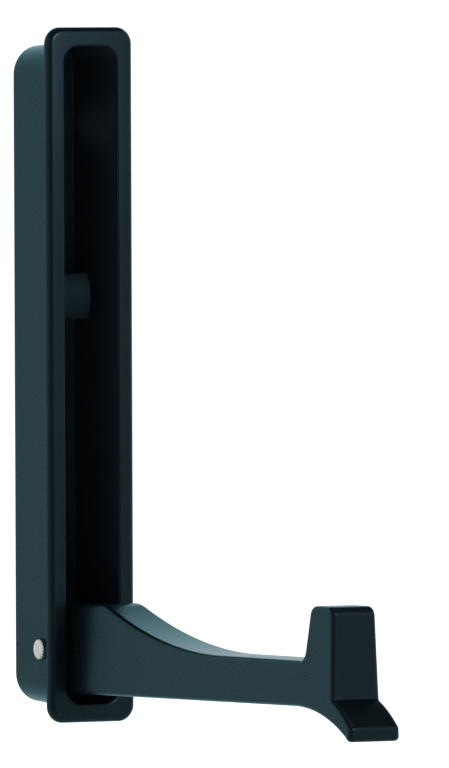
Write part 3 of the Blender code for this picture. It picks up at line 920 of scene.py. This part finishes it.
def make_pin(steel):
    """The pivot pin, splined at both ends."""
    half_length = box_size("pivot_pin").x / 2
    sections = pin_sections(half_length)
    mirrored = [(radius, -x, depth) for radius, x, depth in reversed(sections[1:])]
    bm = bmesh.new()
    rings = []
    for radius, x, depth in mirrored + sections:
        rings.append(circle(bm, radius, x, PIN_SPLINES * POINTS_PER_SPLINE, spline_shape(depth)))
    skin(bm, rings)
    finish_piece(new_object("splined_pin", bm, steel, PIVOT), "pivot_pin", "case")


def sleeve_profile(inner, outer, low, high, edge):
    """A closed ring section whose four edges are rounded."""
    points = []
    corners = ((outer, high, 0), (inner, high, 1), (inner, low, 2), (outer, low, 3))
    for radius, x, quarter in corners:
        side_r = -1 if radius == outer else 1
        side_x = -1 if x == high else 1
        for step in range(SLEEVE_EDGE_STEPS + 1):
            angle = (quarter + step / SLEEVE_EDGE_STEPS) * math.pi / 2
            points.append((radius + side_r * edge + edge * math.cos(angle),
                           x + side_x * edge + edge * math.sin(angle)))
    return points


def make_sleeve(name, node, inner, outer, edge, body, material):
    """A bush or washer about the pivot, as long as its CAD node."""
    half = box_size(node).x / 2
    bm = bmesh.new()
    turned(bm, sleeve_profile(inner, outer, -half, half, edge), SLEEVE_SIDES, closed=True)
    place = Vector((box_centre(node).x, PIVOT.y, PIVOT.z))
    finish_piece(new_object(name, bm, material, place), node, body)


def make_ball(side, steel):
    """A bearing ball, from a cube's grid pushed out to the sphere."""
    node = f"detent_ball_{side}"
    radius = box_size(node).x / 2
    bm = bmesh.new()
    bmesh.ops.create_cube(bm, size=2.0)
    bmesh.ops.subdivide_edges(bm, edges=bm.edges, cuts=BALL_CUTS, use_grid_fill=True)
    for vert in bm.verts:
        spread = Vector([math.tan(part * math.pi / 4) for part in vert.co])
        vert.co = spread.normalized() * radius
    ball = new_object(f"bearing_ball_{side}", bm, steel, box_centre(node))
    finish_piece(ball, node, f"{side}_ball")


SPRING_RADIUS = 0.92 * MM
SPRING_WIRE = 0.18 * MM
SPRING_TURNS = 7.5
SPRING_STEPS = 28
WIRE_SIDES = 12
CLOSED_TURNS = 1.0


def spring_advance(turns):
    """How far along its length the coil has got, 0 to 1: both end turns lie closed."""
    pitch = 2 * SPRING_WIRE
    half = box_size("detent_spring").x / 2 - SPRING_WIRE
    closed = pitch * CLOSED_TURNS
    if turns < CLOSED_TURNS:
        return -half + pitch * turns
    if turns > SPRING_TURNS - CLOSED_TURNS:
        return half - pitch * (SPRING_TURNS - turns)
    share = (turns - CLOSED_TURNS) / (SPRING_TURNS - 2 * CLOSED_TURNS)
    return -half + closed + 2 * (half - closed) * share


def make_spring(wire):
    """A compression spring swept along its helix."""
    def point(index):
        turns = index / SPRING_STEPS
        angle = FULL_TURN * turns
        return Vector((spring_advance(turns), SPRING_RADIUS * math.cos(angle),
                       SPRING_RADIUS * math.sin(angle)))
    bm = bmesh.new()
    rings = []
    for index in range(int(SPRING_TURNS * SPRING_STEPS) + 1):
        centre = point(index)
        along = (point(index + 0.5) - point(index - 0.5)).normalized()
        outward = Vector((0, centre.y, centre.z)).normalized()
        across = along.cross(outward).normalized()
        ring = []
        for side in range(WIRE_SIDES):
            angle = FULL_TURN * side / WIRE_SIDES
            offset = outward * math.cos(angle) + across * math.sin(angle)
            ring.append(bm.verts.new(centre + offset * SPRING_WIRE))
        rings.append(ring)
    skin(bm, rings)
    y, z = detent_place(0.0)
    spring = new_object("coil_spring", bm, wire, (0, y, z))
    finish_piece(spring, "detent_spring", "arm")


# ---------------------------------------------------------------- pads

PAD_EDGE_ROUND = 0.35 * MM
PAD_EDGE_STEPS = 5
PAD_CORNER = 1.0 * MM
PAD_CORNER_STEPS = 6
PAD_LEAST_CORNER = 0.2 * MM
PAD_RIM = 0.5 * MM
PAD_DISH_START = 0.9 * MM
PAD_DISH = 0.12 * MM
STEM_RADIUS = 2.0 * MM
STEM_BREAK = 0.25 * MM
STEM_GAP = 0.05 * MM
STEM_INSET = 1.0 * MM
STEM_FACE_RING = 0.3 * STEM_RADIUS
BUFFER_CROWN = 1.3 * MM
BUFFER_CROWN_STEPS = 24
BUFFER_CROWN_TRIM = 3
BUFFER_EDGE_ROUND = 0.35 * MM
BUFFER_CORNER = 0.6 * MM


def pad_ring(bm, half_x, half_y, corner, z):
    """A rounded rectangle in the XY plane."""
    verts = []
    for quarter in range(4):
        side_x = 1 if quarter in (0, 3) else -1
        side_y = 1 if quarter in (0, 1) else -1
        for step in range(PAD_CORNER_STEPS + 1):
            angle = (quarter + step / PAD_CORNER_STEPS) * math.pi / 2
            x = side_x * (half_x - corner) + corner * math.cos(angle)
            y = side_y * (half_y - corner) + corner * math.sin(angle)
            verts.append(bm.verts.new((x, y, z)))
    return verts


def make_stop_pad(rubber):
    """The moulded pad under the open arm's heel: soft edges and a slightly dished top."""
    size = box_size("stop_pad")
    bm = bmesh.new()
    top = size.z / 2
    edge = reversed(quarter_round(PAD_EDGE_ROUND, PAD_EDGE_STEPS))
    layers = [(inward, along - top) for inward, along in edge]
    layers += [(inward, -z) for inward, z in reversed(layers)]
    layers += [(PAD_EDGE_ROUND + PAD_RIM, top), (PAD_EDGE_ROUND + PAD_DISH_START, top - PAD_DISH)]
    rings = []
    for inward, z in layers:
        corner = max(PAD_CORNER - inward, PAD_LEAST_CORNER)
        rings.append(pad_ring(bm, size.x / 2 - inward, size.y / 2 - inward, corner, z))
    skin(bm, rings)
    pad = new_object("heel_pad", bm, rubber, box_centre("stop_pad"))
    finish_piece(pad, "stop_pad", "case")


def make_buffer(nylon):
    """The crowned block that the folded arm rests against, with its stem in the back wall."""
    low, high = (Vector(corner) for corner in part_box("rest_buffer"))
    block_back = BODY_DEPTH - BACK_WALL - STEM_GAP
    half = (high.z - low.z) / 2
    radius = (half * half + BUFFER_CROWN * BUFFER_CROWN) / (2 * BUFFER_CROWN)
    half_angle = math.degrees(math.asin(half / radius))
    crest_u = -low.y
    crown = arc((crest_u - radius, 0), radius, -half_angle, half_angle, BUFFER_CROWN_STEPS)
    front_low, front_high = crown[0], crown[-1]
    crown = crown[BUFFER_CROWN_TRIM:-BUFFER_CROWN_TRIM]
    back_low, back_high = (-block_back, -half), (-block_back, half)
    outline = rounded_corner(back_low, front_low, crown[0], BUFFER_CORNER, FEW_STEPS)
    outline += crown
    outline += rounded_corner(crown[-1], front_high, back_high, BUFFER_CORNER, FEW_STEPS)
    outline += [Vector(back_high), Vector(back_low)]
    bm = bmesh.new()
    slab(bm, outline, high.x - low.x, BUFFER_EDGE_ROUND)
    place = Matrix.Translation((0, 0, (low.z + high.z) / 2))
    move(bm, place)
    block = new_object("buffer_block", bm, nylon)

    stem = bmesh.new()
    profile = [(STEM_RADIUS, block_back - STEM_INSET), (STEM_RADIUS, high.y - STEM_BREAK),
               (STEM_RADIUS - STEM_BREAK, high.y), (STEM_FACE_RING, high.y)]
    turned(stem, profile, ROUND_HOLE_SIDES)
    move(stem, place @ Matrix.Rotation(math.pi / 2, 4, "Z"))
    combine(block, new_object("buffer_stem", stem, nylon), "UNION")
    finish_piece(block, "rest_buffer", "case")


# ---------------------------------------------------------------- build

make_camera()
make_world()
make_stage()
make_lights()
bpy.context.scene.view_settings.view_transform = "Standard"

coat = satin_coat()
steel = bright_steel()
nylon = black_nylon()
# The recess gets the darker coat, which paints the shade inside it.
make_case(coat, recess_shade_coat())
make_arm(coat)
make_pin(steel)
make_sleeve("bronze_bush", "pivot_bush", PIN_RADIUS + BUSH_ON_PIN_GAP,
            HUB_BORE_RADIUS - BUSH_IN_HUB_GAP, EDGE_BREAK, "arm", sintered_bronze())
for side in ("left", "right"):
    make_sleeve(f"nylon_washer_{side}", f"thrust_washer_{side}", PIN_RADIUS + RUNNING_GAP,
                box_size(f"thrust_washer_{side}").z / 2, EDGE_BREAK, "arm", nylon)
lapped = ball_steel()
make_ball("left", lapped)
make_ball("right", lapped)
make_spring(spring_wire())
make_stop_pad(black_rubber())
make_buffer(nylon)
